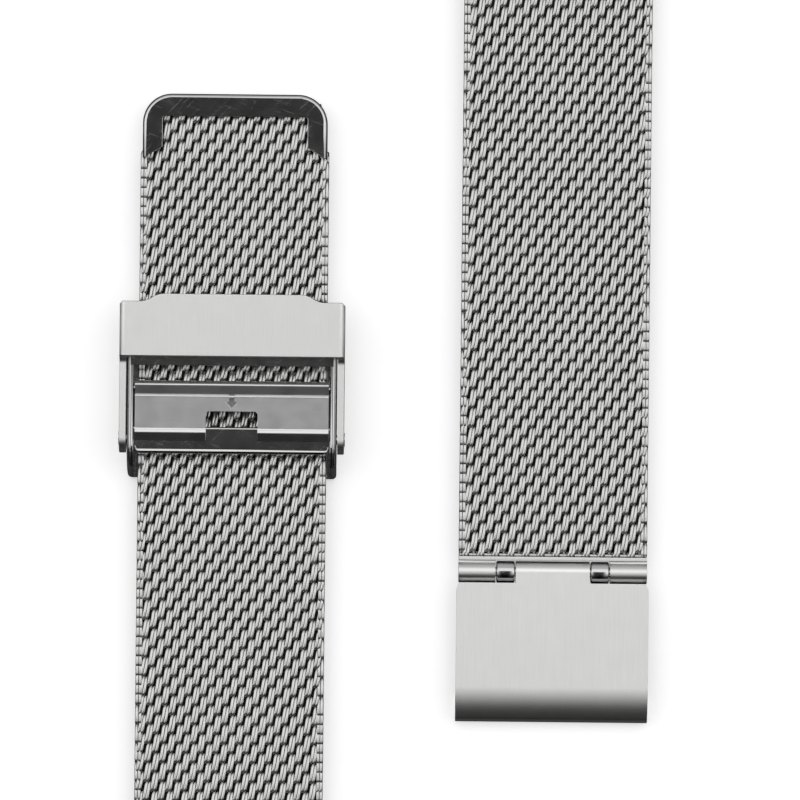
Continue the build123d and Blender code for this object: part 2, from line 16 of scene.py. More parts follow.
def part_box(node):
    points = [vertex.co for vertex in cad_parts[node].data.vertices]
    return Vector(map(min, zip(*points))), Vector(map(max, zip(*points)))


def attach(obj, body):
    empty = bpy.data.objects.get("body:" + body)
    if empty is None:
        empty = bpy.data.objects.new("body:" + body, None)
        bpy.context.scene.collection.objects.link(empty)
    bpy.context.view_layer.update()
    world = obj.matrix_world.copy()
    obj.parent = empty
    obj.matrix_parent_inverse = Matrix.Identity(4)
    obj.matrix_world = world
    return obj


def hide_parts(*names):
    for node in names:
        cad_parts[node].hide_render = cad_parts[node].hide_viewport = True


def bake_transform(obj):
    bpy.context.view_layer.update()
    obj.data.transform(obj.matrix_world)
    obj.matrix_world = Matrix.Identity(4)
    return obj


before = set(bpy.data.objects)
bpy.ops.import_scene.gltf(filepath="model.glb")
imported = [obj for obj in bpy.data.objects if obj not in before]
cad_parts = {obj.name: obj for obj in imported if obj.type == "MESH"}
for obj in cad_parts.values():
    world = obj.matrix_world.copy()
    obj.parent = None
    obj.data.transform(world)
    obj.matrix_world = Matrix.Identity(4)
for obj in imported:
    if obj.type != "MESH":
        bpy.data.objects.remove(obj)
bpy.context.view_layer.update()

log = logging.getLogger("band")
MM = 0.001
# The span that nearly all of a noise texture's values lie in.
NOISE_SPAN = (0.3, 0.7)


# Node trees


@dataclass(frozen=True)
class Term:
    """A value in a node tree, which sums and products can be written with."""

    graph: "Graph"
    socket: bpy.types.NodeSocket

    def __add__(self, other: "Term | float") -> "Term":
        """Sum."""
        return self.graph.math("ADD", self, other)

    def __radd__(self, other: float) -> "Term":
        """Sum with a number before it."""
        return self.graph.math("ADD", other, self)

    def __sub__(self, other: "Term | float") -> "Term":
        """Difference."""
        return self.graph.math("SUBTRACT", self, other)

    def __rsub__(self, other: float) -> "Term":
        """Difference from a number."""
        return self.graph.math("SUBTRACT", other, self)

    def __mul__(self, other: "Term | float") -> "Term":
        """Product."""
        return self.graph.math("MULTIPLY", self, other)

    def __rmul__(self, other: float) -> "Term":
        """Product with a number before it."""
        return self.graph.math("MULTIPLY", other, self)

    def __truediv__(self, other: "Term | float") -> "Term":
        """Quotient."""
        return self.graph.math("DIVIDE", self, other)


class Graph:
    """A node tree under construction, of any kind."""

    def __init__(self, tree: bpy.types.NodeTree) -> None:
        """Start on an empty tree.

        Args:
            tree: The node tree to build in.
        """
        self.tree = tree

    def node(self, kind: str, inputs: dict[str | int, object] | None = None,
             **settings: object) -> bpy.types.Node:
        """Add a node.

        Args:
            kind: The node's type, such as ShaderNodeTexNoise.
            inputs: Values, sockets or terms for its inputs, by name or number.
            **settings: The node's own properties.

        Returns:
            The new node.
        """
        node = self.tree.nodes.new(kind)
        for name, value in settings.items():
            setattr(node, name, value)
        for key, value in (inputs or {}).items():
            self.feed(node.inputs[key], value)
        return node

    def feed(self, socket: bpy.types.NodeSocket, value: object) -> None:
        """Link a term or socket to an input, or set the input's own value.

        Args:
            socket: The input.
            value: A term, a socket, or a plain value.
        """
        if isinstance(value, Term):
            value = value.socket
        if isinstance(value, bpy.types.NodeSocket):
            self.tree.links.new(value, socket)
        else:
            socket.default_value = value

    def term(self, socket: bpy.types.NodeSocket) -> Term:
        """Wrap an output, so that formulas can be written with it."""
        return Term(self, socket)

    def math(self, operation: str, *values: Term | float) -> Term:
        """Add a Math node.

        Args:
            operation: Its operation, such as SINE.
            *values: Its inputs, in order.

        Returns:
            The result.
        """
        node = self.node("ShaderNodeMath", dict(enumerate(values)), operation=operation)
        return self.term(node.outputs[0])

    def spread(self, value: Term, low: float, high: float, to_low: float, to_high: float,
               smooth: bool = False) -> Term:
        """Carry a value from one range to another, and hold it at the ends.

        Args:
            value: What is carried over.
            low: Start of the range that it comes from.
            high: End of that range.
            to_low: Result at the start.
            to_high: Result at the end.
            smooth: Whether it eases in and out.

        Returns:
            The result.
        """
        node = self.node(
            "ShaderNodeMapRange",
            {"Value": value, "From Min": low, "From Max": high, "To Min": to_low, "To Max": to_high},
            interpolation_type="SMOOTHSTEP" if smooth else "LINEAR",
        )
        return self.term(node.outputs["Result"])

    def noise(self, vector: bpy.types.NodeSocket, stretch: tuple[float, float, float],
              detail: float = 2.0, roughness: float = 0.5) -> Term:
        """Add a Noise texture whose grain has a given count per metre along each axis.

        Args:
            vector: The place that it is read at.
            stretch: Grains per metre along X, Y and Z.
            detail: Octaves of finer grain.
            roughness: Share of each finer octave.

        Returns:
            The noise, around 0.5.
        """
        mapping = self.node("ShaderNodeMapping", {"Vector": vector, "Scale": stretch})
        texture = self.node(
            "ShaderNodeTexNoise",
            {"Vector": mapping.outputs[0], "Scale": 1.0, "Detail": detail, "Roughness": roughness},
        )
        return self.term(texture.outputs[0])


# Finishes


class Grain(Enum):
    """Which way a finish's fine lines run, as grains per millimetre along X, Y and Z."""

    ALONG = (22.0, 0.25, 22.0)
    ACROSS = (0.35, 24.0, 24.0)
    TURNED = (16.0, 0.6, 0.6)
    EVEN = (9.0, 9.0, 9.0)


@dataclass(frozen=True)
class Scratches:
    """Faint long scratches at two slants, cut out of stretched noise.

    The depth and the grains are in and per millimetre. A slant has its turn in radians and its
    own count of scratches.
    """

    depth: float
    duller: float = 0.12
    slants: tuple[tuple[float, float], ...] = ((0.35, 3.2), (-0.8, 2.6))
    grain_along: float = 0.12
    grain_across: float = 5.0
    grain_upward: float = 0.5
    cut: tuple[float, float] = (0.68, 0.71)

    def marks(self, graph: Graph, place: bpy.types.NodeSocket) -> Term:
        """Find the scratches.

        Args:
            graph: The finish's node tree.
            place: The place that they are read at.

        Returns:
            1 in a scratch and 0 elsewhere.
        """
        marks = []
        for slant, count in self.slants:
            turned = graph.node("ShaderNodeMapping", {"Vector": place, "Rotation": (0.0, 0.0, slant)})
            stretch = (self.grain_along * count / MM, self.grain_across * count / MM,
                       self.grain_upward / MM)
            streaks = graph.noise(turned.outputs[0], stretch)
            marks.append(graph.spread(streaks, *self.cut, 0.0, 1.0))
        return graph.math("MAXIMUM", *marks)


@dataclass(frozen=True)
class Steel:
    """A steel finish: its colour, its gloss, its grain, its wear and any painted shade.

    The grain's depth is in millimetres, and the clouds' grain is per millimetre. The shade and the
    gloss change by the shares given here, over the span of the noise that they follow.
    """

    name: str
    colour: tuple[float, float, float]
    roughness: float
    grain: Grain
    grain_depth: float = 0.0
    grain_shade: float = 0.0
    gloss_change: float = 0.05
    anisotropy: float = 0.0
    scratches: Scratches | None = None
    cloud: float = 0.03
    cloud_grain: float = 0.45
    painted_shade_by: str = ""
    line_span: tuple[float, float] = (0.25, 0.75)

    @cache
    def material(self) -> bpy.types.Material:
        """Build the finish, once.

        Returns:
            The material.
        """
        material = bpy.data.materials.new(self.name)
        material.use_nodes = True
        material.diffuse_color = (*self.colour, 1.0)
        tree = material.node_tree
        tree.nodes.clear()
        graph = Graph(tree)
        place = graph.node("ShaderNodeTexCoord").outputs["Object"]
        lines = graph.noise(place, tuple(count / MM for count in self.grain.value),
                            detail=3.0, roughness=0.6)
        clouds = graph.noise(place, (self.cloud_grain / MM,) * 3, detail=3.0, roughness=0.55)
        shade = (graph.spread(lines, *self.line_span, 1 - self.grain_shade, 1 + self.grain_shade)
                 * graph.spread(clouds, *NOISE_SPAN, 1 - self.cloud, 1 + self.cloud))
        # Painted shade: a named attribute makes the colour darker where the weave lies deep.
        if self.painted_shade_by:
            depth = graph.node("ShaderNodeAttribute", attribute_name=self.painted_shade_by)
            shade = shade * graph.term(depth.outputs["Fac"])
        colour = graph.node("ShaderNodeVectorMath", {0: self.colour}, operation="SCALE")
        graph.feed(colour.inputs["Scale"], shade)
        gloss = graph.spread(clouds, *NOISE_SPAN, self.roughness - self.gloss_change,
                             self.roughness + self.gloss_change)
        shader = graph.node(
            "ShaderNodeBsdfPrincipled",
            {"Base Color": colour.outputs[0], "Metallic": 1.0, "Anisotropic": self.anisotropy},
        )
        height = lines * self.grain_depth
        if self.scratches:
            marks = self.scratches.marks(graph, place)
            height = height - marks * self.scratches.depth
            gloss = gloss + marks * self.scratches.duller
        graph.feed(shader.inputs["Roughness"], gloss)
        if self.grain_depth or self.scratches:
            bump = graph.node("ShaderNodeBump", {"Height": height, "Strength": 1.0, "Distance": MM})
            graph.feed(shader.inputs["Normal"], bump.outputs[0])
        if self.anisotropy:
            along = (1.0, 0.0, 0.0) if self.grain is Grain.ALONG else (0.0, 1.0, 0.0)
            tangent = graph.node(
                "ShaderNodeVectorTransform", {"Vector": along}, vector_type="VECTOR",
                convert_from="OBJECT", convert_to="WORLD",
            )
            graph.feed(shader.inputs["Tangent"], tangent.outputs[0])
        graph.node("ShaderNodeOutputMaterial", {"Surface": shader.outputs[0]})
        return material


# The attribute of painted shade on the weave: a share of its colour, less the deeper a point lies,
# standing in for the shade deep in the mesh.
PAINTED_SHADE = "painted_depth_shade"

WOVEN = Steel("woven_wire", (0.63, 0.63, 0.62), 0.3, Grain.EVEN, grain_depth=0.004,
              grain_shade=0.06, gloss_change=0.06, cloud=0.05, painted_shade_by=PAINTED_SHADE)
POLISHED_CAP = Steel("polished_cap", (0.55, 0.55, 0.55), 0.11, Grain.ACROSS, grain_depth=0.0003,
                     grain_shade=0.02, gloss_change=0.02, scratches=Scratches(0.0005))
POLISHED = Steel("polished_frame", (0.6, 0.6, 0.6), 0.13, Grain.ACROSS, grain_depth=0.0003,
                 grain_shade=0.03, gloss_change=0.02, scratches=Scratches(0.0004))
BRUSHED = Steel("brushed_sheet", (0.78, 0.78, 0.77), 0.42, Grain.ALONG, grain_depth=0.0003,
                grain_shade=0.05, gloss_change=0.01, anisotropy=0.8, cloud=0.01)
BRUSHED_HOOK = replace(BRUSHED, name="brushed_hook", colour=(0.85, 0.85, 0.84))
SATIN = Steel("satin_lever", (0.72, 0.72, 0.72), 0.3, Grain.ACROSS, grain_depth=0.0005,
              grain_shade=0.04, gloss_change=0.02, cloud=0.015)
TURNED = Steel("turned_bar", (0.7, 0.7, 0.69), 0.22, Grain.TURNED, grain_depth=0.002,
               grain_shade=0.06, gloss_change=0.04)


# The woven mesh


@dataclass
class Weave:
    """The woven mesh: flattened wire coils across the band, each linked with the next.

    Each coil is a pair of wires. Its turns stand a set share of a turn beside those of the coil
    below, so that they make slanting lines. Its wires lie like roof tiles: highest on the face at
    the coil's foot, and sinking towards its head, where the next coil lies over them. The wires'
    colour is made darker between two depths from the mesh's middle, as painted shade, and flat
    dark sheets, a painted shadow, close the weave.
    """

    half_width: float = 10.0 * MM
    mid_height: float = 1.55 * MM
    half_thickness: float = 0.85 * MM
    coil_pitch: float = 1.015 * MM
    turn_pitch: float = 1.6 * MM
    row_shift: float = 0.52
    wire_radius: float = 0.175 * MM
    wire_spacing: float = 0.345 * MM
    wire_flatness: float = 0.75
    reach: float = 0.98 * MM
    face_run: float = 0.27 * MM
    tile_slope: float = 0.4
    squareness: float = 0.5
    rolled_power: float = 0.6
    wander: float = 0.03 * MM
    wander_grain: float = 1400.0
    turn_steps: int = 16
    wire_sides: int = 8
    shadow_sheet_inset: float = 0.35 * MM
    shadow_sheet_thickness: float = 0.3 * MM
    shadow_sheet_end: float = 0.51
    # Painted shade: over these distances from the mesh's middle the colour rises from the least share to
    # full.
    painted_shade_span: tuple[float, float] = (0.16 * MM, 0.4 * MM)
    painted_shade_least: float = 0.04
    tree: bpy.types.NodeTree = field(init=False)

    def __post_init__(self) -> None:
        """Build the coils' node tree."""
        self.tree = self.coil_tree()

    def coil_tree(self) -> bpy.types.NodeTree:
        """Node tree that makes coils from a first to a last number, counted towards -Y.

        Returns:
            The tree. Its inputs are the places and counts that differ between pieces.
        """
        tree = bpy.data.node_groups.new("woven_coils", "GeometryNodeTree")
        for name, kind in (
            ("Centre X", "NodeSocketFloat"), ("Head Y", "NodeSocketFloat"),
            ("First Coil", "NodeSocketInt"), ("Coils", "NodeSocketInt"),
            ("Highest Y", "NodeSocketFloat"), ("Lowest Y", "NodeSocketFloat"),
            ("Corner Radius", "NodeSocketFloat"), ("Capped Length", "NodeSocketFloat"),
            ("Capped Inset", "NodeSocketFloat"),
        ):
            tree.interface.new_socket(name, in_out="INPUT", socket_type=kind)
        tree.interface.new_socket("Coils", in_out="OUTPUT", socket_type="NodeSocketGeometry")
        graph = Graph(tree)
        given = {socket.name: graph.term(socket)
                 for socket in graph.node("NodeGroupInput").outputs if socket.name}
        joined = graph.node("GeometryNodeJoinGeometry")
        for part in (self.shadow_sheets(graph, given), self.wires(graph, given)):
            tree.links.new(part, joined.inputs[0])
        real = graph.node("GeometryNodeRealizeInstances", {"Geometry": joined.outputs[0]})
        # Painted shade: points near the mesh's middle get a darker colour.
        above = graph.math("ABSOLUTE", self.height(graph) - self.mid_height)
        painted_depth_shade = graph.spread(above, *self.painted_shade_span, self.painted_shade_least, 1.0)
        shaded = self.keep(graph, real.outputs[0], PAINTED_SHADE, painted_depth_shade)
        dressed = graph.node("GeometryNodeSetMaterial", {"Geometry": shaded, "Material": WOVEN.material()})
        graph.node("NodeGroupOutput", {0: dressed.outputs[0]})
        return tree

    def wires(self, graph: Graph, given: dict[str, Term]) -> bpy.types.NodeSocket:
        """The coils' wires, two to a coil.

        Args:
            graph: The node tree.
            given: The tree's inputs.

        Returns:
            Their geometry.
        """
        index = graph.term(graph.node("GeometryNodeInputIndex").outputs[0])
        coil = graph.math("FLOOR", index / 2.0)
        starts = graph.node("GeometryNodeMeshLine", {"Count": given["Coils"] * 2.0})
        starts = self.keep(graph, starts.outputs[0], "coil", coil + given["First Coil"])
        starts = self.keep(graph, starts, "strand", index - coil * 2.0)
        line = graph.node("GeometryNodeCurvePrimitiveLine")
        laid = graph.node("GeometryNodeInstanceOnPoints", {"Points": starts, "Instance": line.outputs[0]})
        laid = graph.node("GeometryNodeRealizeInstances", {"Geometry": laid.outputs[0]})
        first, last = self.end_turns(graph, given)
        # A point at each step and one at the end, and half a one against rounding down.
        wire = graph.node("GeometryNodeResampleCurve",
                          {"Curve": laid.outputs[0], "Count": (last - first) * self.turn_steps + 1.5})
        share = graph.term(graph.node("GeometryNodeSplineParameter").outputs["Factor"])
        wire = self.keep(graph, wire.outputs[0], "turns", first + (last - first) * share)
        placed = graph.node("GeometryNodeSetPosition",
                            {"Geometry": wire, "Position": self.wire_place(graph, given)})
        cored = self.keep(graph, placed.outputs[0], "core", self.height(graph))
        ring = graph.node("GeometryNodeCurvePrimitiveCircle",
                          {"Resolution": self.wire_sides, "Radius": self.wire_radius})
        tubes = graph.node("GeometryNodeCurveToMesh",
                           {"Curve": cored, "Profile Curve": ring.outputs[0], "Fill Caps": True})
        rolled = graph.node("GeometryNodeSetPosition",
                            {"Geometry": tubes.outputs[0], "Position": self.rolled_place(graph)})
        return graph.node("GeometryNodeSetShadeSmooth", {"Geometry": rolled.outputs[0]}).outputs[0]

    def shadow_sheets(self, graph: Graph, given: dict[str, Term]) -> bpy.types.NodeSocket:
        """Flat dark sheets deep in the weave, one to a coil: a painted shadow where the wires cross in
        shade.

        The sheet of an end coil is held back inside the mesh's foot, as its wires are.

        Args:
            graph: The node tree.
            given: The tree's inputs.

        Returns:
            Their geometry.
        """
        # Each sheet lies at the mesh's middle, where the painted shade makes it nearly black.
        index = graph.term(graph.node("GeometryNodeInputIndex").outputs[0])
        middle_y = given["Head Y"] - (index + given["First Coil"] + 0.5) * self.coil_pitch
        middle_y = graph.math("MAXIMUM", middle_y, given["Lowest Y"] + self.coil_pitch * self.shadow_sheet_end)
        half = self.half_width_at(graph, given, middle_y) - self.shadow_sheet_inset
        starts = graph.node("GeometryNodeMeshLine", {"Count": given["Coils"]})
        spot = graph.node("ShaderNodeCombineXYZ", {0: given["Centre X"], 1: middle_y, 2: self.mid_height})
        points = graph.node("GeometryNodeSetPosition",
                            {"Geometry": starts.outputs[0], "Position": spot.outputs[0]})
        size = graph.node("ShaderNodeCombineXYZ",
                          {0: half * 2.0, 1: self.coil_pitch, 2: self.shadow_sheet_thickness})
        block = graph.node("GeometryNodeMeshCube")
        laid = graph.node("GeometryNodeInstanceOnPoints",
                          {"Points": points.outputs[0], "Instance": block.outputs[0],
                           "Scale": size.outputs[0]})
        return laid.outputs[0]

    @staticmethod
    def keep(graph: Graph, geometry: bpy.types.NodeSocket, name: str,
             value: Term) -> bpy.types.NodeSocket:
        """Store a value on each point of a geometry.

        Args:
            graph: The node tree.
            geometry: The geometry.
            name: The attribute's name.
            value: What is stored.

        Returns:
            The geometry with the attribute.
        """
        store = graph.node("GeometryNodeStoreNamedAttribute",
                           {"Geometry": geometry, "Name": name, "Value": value},
                           data_type="FLOAT", domain="POINT")
        return store.outputs[0]

    @staticmethod
    def kept(graph: Graph, name: str) -> Term:
        """Read a stored value."""
        read = graph.node("GeometryNodeInputNamedAttribute", {"Name": name}, data_type="FLOAT")
        return graph.term(read.outputs[0])

    @staticmethod
    def height(graph: Graph) -> Term:
        """Height of each point."""
        spot = graph.node("GeometryNodeInputPosition")
        return graph.term(graph.node("ShaderNodeSeparateXYZ", {0: spot.outputs[0]}).outputs[2])

    def coil_frame(self, graph: Graph, given: dict[str, Term]) -> tuple[Term, Term, Term]:
        """Where a wire's coil lies.

        Args:
            graph: The node tree.
            given: The tree's inputs.

        Returns:
            The coil's place along the band, its half width, and its turns' place across the band.
        """
        coil = self.kept(graph, "coil")
        middle_y = given["Head Y"] - (coil + 0.5) * self.coil_pitch
        phase = graph.math("FLOORED_MODULO", coil * -self.row_shift, 1.0) * self.turn_pitch
        return middle_y, self.half_width_at(graph, given, middle_y), phase

    def end_turns(self, graph: Graph, given: dict[str, Term]) -> tuple[Term, Term]:
        """Numbers of a wire's first and last turn.

        Args:
            graph: The node tree.
            given: The tree's inputs.

        Returns:
            The two numbers.
        """
        middle_y, half, phase = self.coil_frame(graph, given)
        first = graph.math("FLOOR", (0.0 - half - phase) / self.turn_pitch + 0.5)
        last = graph.math("CEIL", (half - phase) / self.turn_pitch + 0.5)
        return first, last

    def wire_place(self, graph: Graph, given: dict[str, Term]) -> bpy.types.NodeSocket:
        """Place of each point along a wire, as a flattened helix across the band.

        Args:
            graph: The node tree.
            given: The tree's inputs.

        Returns:
            The place.
        """
        strand, turns = (self.kept(graph, name) for name in ("strand", "turns"))
        middle_y, half, phase = self.coil_frame(graph, given)
        angle = (turns - 0.25) * (2 * pi)
        forward = self.squared(graph, graph.math("COSINE", angle)) * -1.0
        upward = self.squared(graph, graph.math("SINE", angle))
        run = self.across_turn(graph, angle, forward, upward)
        inner = half - self.wire_radius
        low = 0.0 - inner + strand * self.wire_spacing
        high = inner - (1.0 - strand) * self.wire_spacing
        across = ((graph.math("FLOOR", turns) - 0.5) * self.turn_pitch + run
                  + phase + (strand - 0.5) * self.wire_spacing)
        x = given["Centre X"] + graph.math("MINIMUM", graph.math("MAXIMUM", across, low), high)
        y = middle_y + forward * self.reach
        sunk = 1.0 - (forward * graph.math("SIGN", upward) + 1.0) * (self.tile_slope / 2)
        rise = self.half_thickness - self.wire_radius * self.wire_flatness
        z = upward * sunk * rise + self.mid_height
        spot = graph.node("ShaderNodeCombineXYZ", {0: x, 1: y, 2: z})
        wobble = graph.node("ShaderNodeTexNoise",
                            {"Vector": spot.outputs[0], "Scale": self.wander_grain, "Detail": 1.0})
        offset = graph.node("ShaderNodeVectorMath", {0: wobble.outputs["Color"], 1: (0.5, 0.5, 0.5)},
                            operation="SUBTRACT")
        offset = graph.node("ShaderNodeVectorMath", {0: offset.outputs[0]}, operation="SCALE")
        graph.feed(offset.inputs["Scale"], 2 * self.wander)
        moved = graph.node("ShaderNodeVectorMath", {0: spot.outputs[0], 1: offset.outputs[0]},
                           operation="ADD")
        parts = graph.node("ShaderNodeSeparateXYZ", {0: moved.outputs[0]})
        level = graph.math("MINIMUM", given["Highest Y"] - self.wire_radius,
                           graph.math("MAXIMUM", graph.term(parts.outputs[1]),
                                      given["Lowest Y"] + self.wire_radius))
        held = graph.node("ShaderNodeCombineXYZ", {0: parts.outputs[0], 1: level, 2: parts.outputs[2]})
        return held.outputs[0]

    def across_turn(self, graph: Graph, angle: Term, forward: Term, upward: Term) -> Term:
        """How far across the band the wire has come since its turn began, under the mesh.

        It leans by face_run on each face, more at the foot than at the head, and makes the rest of
        its way in the two dives between.

        Args:
            graph: The node tree.
            angle: The angle round the coil, which starts a turn at a quarter turn below zero.
            forward: Place along the band within the coil, from -1 to 1.
            upward: Height within the coil, from -1 to 1.

        Returns:
            The way across, from 0 to the turn pitch.
        """
        dive = self.turn_pitch / 2 - self.face_run
        side = graph.math("SIGN", graph.math("COSINE", angle))
        in_dives = (1.0 + (upward - 1.0) * 0.5 * side) * dive
        on_top = graph.math("GREATER_THAN", upward, 0.0)
        share = (forward + 1.0) * 0.5
        # The lean's slope falls evenly from 4/3 at the foot to 2/3 at the head.
        leaned = (4.0 - share) * share * (1 / 3)
        over = (leaned + 0.5) * self.face_run
        under = ((1.0 - side) * 2.0 - forward) * (self.face_run / 2)
        return in_dives + over * on_top + under * (1.0 - on_top)

    def squared(self, graph: Graph, wave: Term) -> Term:
        """Swell a sine wave towards its limits, which gives the coil flat faces."""
        size = graph.math("POWER", graph.math("ABSOLUTE", wave), self.squareness)
        return graph.math("SIGN", wave) * size

    def half_width_at(self, graph: Graph, given: dict[str, Term], y: Term) -> Term:
        """Half width of the mesh at a coil, narrowed and rounded off inside the tip cap.

        Args:
            graph: The node tree.
            given: The tree's inputs.
            y: The coil's place along the band.

        Returns:
            The half width.
        """
        depth = given["Head Y"] - y
        radius = given["Corner Radius"]
        into_corner = graph.math("MAXIMUM", radius - depth, 0.0)
        cut = radius - graph.math("SQRT", radius * radius - into_corner * into_corner)
        capped = graph.math("LESS_THAN", depth, given["Capped Length"])
        return self.half_width - capped * (given["Capped Inset"] + cut)

    def rolled_place(self, graph: Graph) -> bpy.types.NodeSocket:
        """Place of each point of a wire's surface once the wire is rolled flatter.

        Args:
            graph: The node tree.

        Returns:
            The place.
        """
        parts = graph.node("ShaderNodeSeparateXYZ",
                           {0: graph.node("GeometryNodeInputPosition").outputs[0]})
        core = self.kept(graph, "core")
        off = (graph.term(parts.outputs[2]) - core) / self.wire_radius
        size = graph.math("POWER", graph.math("ABSOLUTE", off), self.rolled_power)
        height = core + graph.math("SIGN", off) * size * (self.wire_radius * self.wire_flatness)
        spot = graph.node("ShaderNodeCombineXYZ", {0: parts.outputs[0], 1: parts.outputs[1], 2: height})
        return spot.outputs[0]

    def piece(self, name: str, inputs: dict[str, float]) -> bpy.types.Object:
        """Make one stretch of coils a plain mesh.

        Args:
            name: The piece's name.
            inputs: Values for the tree's inputs, by name.

        Returns:
            The piece.
        """
        piece = bpy.data.objects.new(name, bpy.data.meshes.new(name))
        bpy.context.scene.collection.objects.link(piece)
        coils = piece.modifiers.new("coils", "NODES")
        coils.node_group = self.tree
        for item in self.tree.interface.items_tree:
            if item.in_out == "INPUT":
                coils[item.identifier] = inputs[item.name]
        bpy.context.view_layer.update()
        view = bpy.context.evaluated_depsgraph_get()
        mesh = bpy.data.meshes.new_from_object(piece.evaluated_get(view), depsgraph=view)
        piece.modifiers.clear()
        piece.data = mesh
        for attribute in ("coil", "strand", "turns", "core"):
            if attribute in mesh.attributes:
                mesh.attributes.remove(mesh.attributes[attribute])
        log.info("%s: %d coils, %d faces", name, inputs["Coils"], len(mesh.polygons))
        return piece


def place_of(node: str) -> tuple[Vector, Vector, Vector]:
    """Lowest corner, highest corner and middle of a node's box."""
    low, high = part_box(node)
    return low, high, (low + high) / 2


@dataclass
class WovenHalf:
    """The woven mesh of one half, in stretches, some of them over the joints between its links.

    Its foot has end coils beyond the last whole one, held back at the end, which close it.
    """

    weave: Weave
    head_node: str
    foot_node: str
    link_coils: int = 8
    end_coils: int = 1
    capped_length: float = 0.0
    capped_inset: float = 0.0
    corner_radius: float = 0.0
    centre_x: float = field(init=False)
    head_y: float = field(init=False)
    foot_y: float = field(init=False)

    def __post_init__(self) -> None:
        """Read the half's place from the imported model."""
        low, high, middle = place_of(self.head_node)
        self.centre_x = middle.x
        self.head_y = high.y
        self.foot_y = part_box(self.foot_node)[0].y

    @property
    def coils(self) -> int:
        """How many coils the half has."""
        return round((self.head_y - self.foot_y) / self.weave.coil_pitch)

    def stretch(self, name: str, first: int, coils: int) -> bpy.types.Object:
        """Weave some of the half's coils.

        Args:
            name: The piece's name.
            first: Number of its first coil, from the head.
            coils: How many coils it has.

        Returns:
            The piece.
        """
        return self.weave.piece(name, {
            "Centre X": self.centre_x, "Head Y": self.head_y, "First Coil": first, "Coils": coils,
            "Highest Y": self.head_y, "Lowest Y": self.foot_y, "Corner Radius": self.corner_radius,
            "Capped Length": self.capped_length, "Capped Inset": self.capped_inset,
        })

    def still(self, name: str, first: int, coils: int, body: str, node: str) -> None:
        """Weave a stretch that doesn't bend.

        Args:
            name: The piece's name.
            first: Number of its first coil.
            coils: How many coils it has.
            body: The body that it rides on.
            node: The node that it stands for.
        """
        piece = self.stretch(name, first, coils)
        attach(piece, body)
        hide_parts(node)

    def bending(self, name: str, first: int, bodies: tuple[str, str], nodes: tuple[str, str]) -> None:
        """Weave a stretch over a joint, baked in place and held by no body.

        Args:
            name: The piece's name.
            first: Number of its first coil.
            bodies: Not used.
            nodes: The nodes that it stands for.
        """
        piece = self.stretch(name, first, self.link_coils)
        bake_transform(piece)
        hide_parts(*nodes)


@dataclass
class LongHalf(WovenHalf):
    """The long half: a stretch that the clasp slides on, then five bends down to the case end.

    The stretch is woven in pieces, cut at the coils given here, so that none has too many faces.
    """

    head_node: str = "long_mesh_slide"
    foot_node: str = "long_mesh_5"
    capped_length: float = 6.38 * MM
    capped_inset: float = 0.57 * MM
    corner_radius: float = 2.73 * MM
    still_cuts: tuple[int, ...] = (0, 24, 48, 71)
    bends: int = 5

    def build(self) -> None:
        """Weave it."""
        for number, (start, end) in enumerate(zip(self.still_cuts, self.still_cuts[1:]), 1):
            self.still(f"woven_long_fixed_{number}", start, end - start, "long_strap", self.head_node)
        start = self.still_cuts[-1]
        body, node = "long_strap", self.head_node
        for number in range(1, self.bends + 1):
            next_body, next_node = f"long_link_{number}", f"long_mesh_{number}"
            self.bending(f"woven_long_bend_{number}", start, (body, next_body), (node, next_node))
            body, node = next_body, next_node
            start += self.link_coils
        self.still("woven_long_foot", start, self.coils - start + self.end_coils, body, node)


@dataclass
class ShortHalf(WovenHalf):
    """The short half: seven bends from its case end down to the hook's hinge."""

    head_node: str = "short_mesh_8"
    foot_node: str = "short_mesh_1"
    links: int = 8

    def build(self) -> None:
        """Weave it."""
        start = self.link_coils // 2
        self.still("woven_short_head", 0, start, f"short_link_{self.links}", self.head_node)
        for number in range(self.links - 1, 0, -1):
            self.bending(f"woven_short_bend_{number}", start,
                         (f"short_link_{number + 1}", f"short_link_{number}"),
                         (f"short_mesh_{number + 1}", f"short_mesh_{number}"))
            start += self.link_coils
        self.still("woven_short_foot", start, self.coils - start + self.end_coils, "short_link_1",
                   self.foot_node)


# Sheet metal and turned pieces


def dress(node: str, steel: Steel) -> None:
    """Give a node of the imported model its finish.

    Args:
        node: The node's name.
        steel: Its finish.
    """
    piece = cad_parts[node]
    piece.data.materials.clear()
    piece.data.materials.append(steel.material())
    log.info("%s: dressed in %s", node, steel.name)


@dataclass(frozen=True)
class Relief:
    """How far a strip of a piece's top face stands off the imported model's.

    The profile gives it at places along the band, counted from the lid's rivets in millimetres. It
    holds between two heights, within a half width of the clasp's middle, where the face looks up.
    """

    profile: tuple[tuple[float, float], ...]
    lowest: float
    highest: float
    half_width: float = 12.0 * MM
    least_upward: float = 0.05
    weld: float = 0.0005 * MM

    def press(self, shape: bmesh.types.BMesh) -> None:
        """Raise and sink a shape's top face.

        Args:
            shape: The shape.
        """
        rivets = place_of("lid_rivets")[2]
        stations = [(rivets.y + along * MM, off * MM) for along, off in self.profile]
        for along, _ in stations:
            bmesh.ops.bisect_plane(shape, geom=shape.verts[:] + shape.edges[:] + shape.faces[:],
                                   dist=self.weld, plane_co=(0.0, along, 0.0),
                                   plane_no=(0.0, 1.0, 0.0))
        shape.normal_update()
        for vert in [vert for vert in shape.verts
                     if vert.normal.z > self.least_upward and self.lowest < vert.co.z < self.highest
                     and abs(vert.co.x - rivets.x) < self.half_width]:
            for (start, low), (end, high) in zip(stations, stations[1:]):
                if start <= vert.co.y < end:
                    vert.co.z += low + (high - low) * (vert.co.y - start) / (end - start)
                    break


